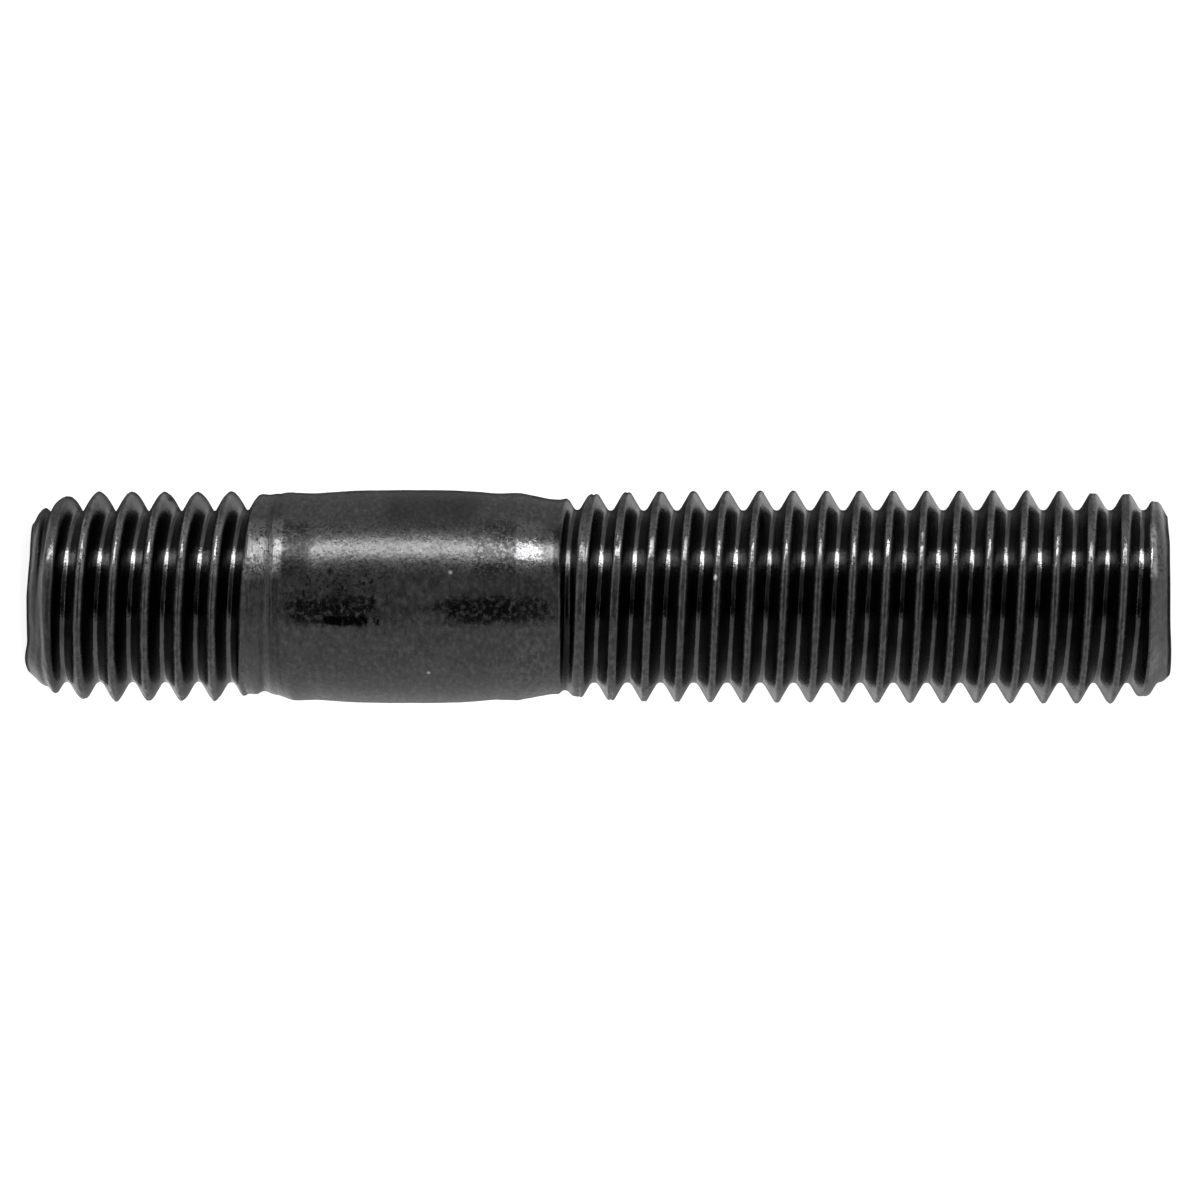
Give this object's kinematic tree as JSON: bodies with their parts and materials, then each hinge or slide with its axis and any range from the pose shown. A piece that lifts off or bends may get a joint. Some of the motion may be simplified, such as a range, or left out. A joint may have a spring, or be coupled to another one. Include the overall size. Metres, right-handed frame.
{
  "type": "double ended stud",
  "caption": "Threaded steel rod with a short tap end, a plain barrelled shank and a long nut end",
  "frame": {"origin": "centre of the tap end face, the lowest point of the standing stud", "axes": "+Z along the stud's axis from the tap end to the nut end"},
  "size_m": [0.008, 0.008, 0.043],
  "materials": {
    "steel": "black oxide, satin"
  },
  "bodies": {
    "root": {"stud": "steel"}
  },
  "joints": []
}
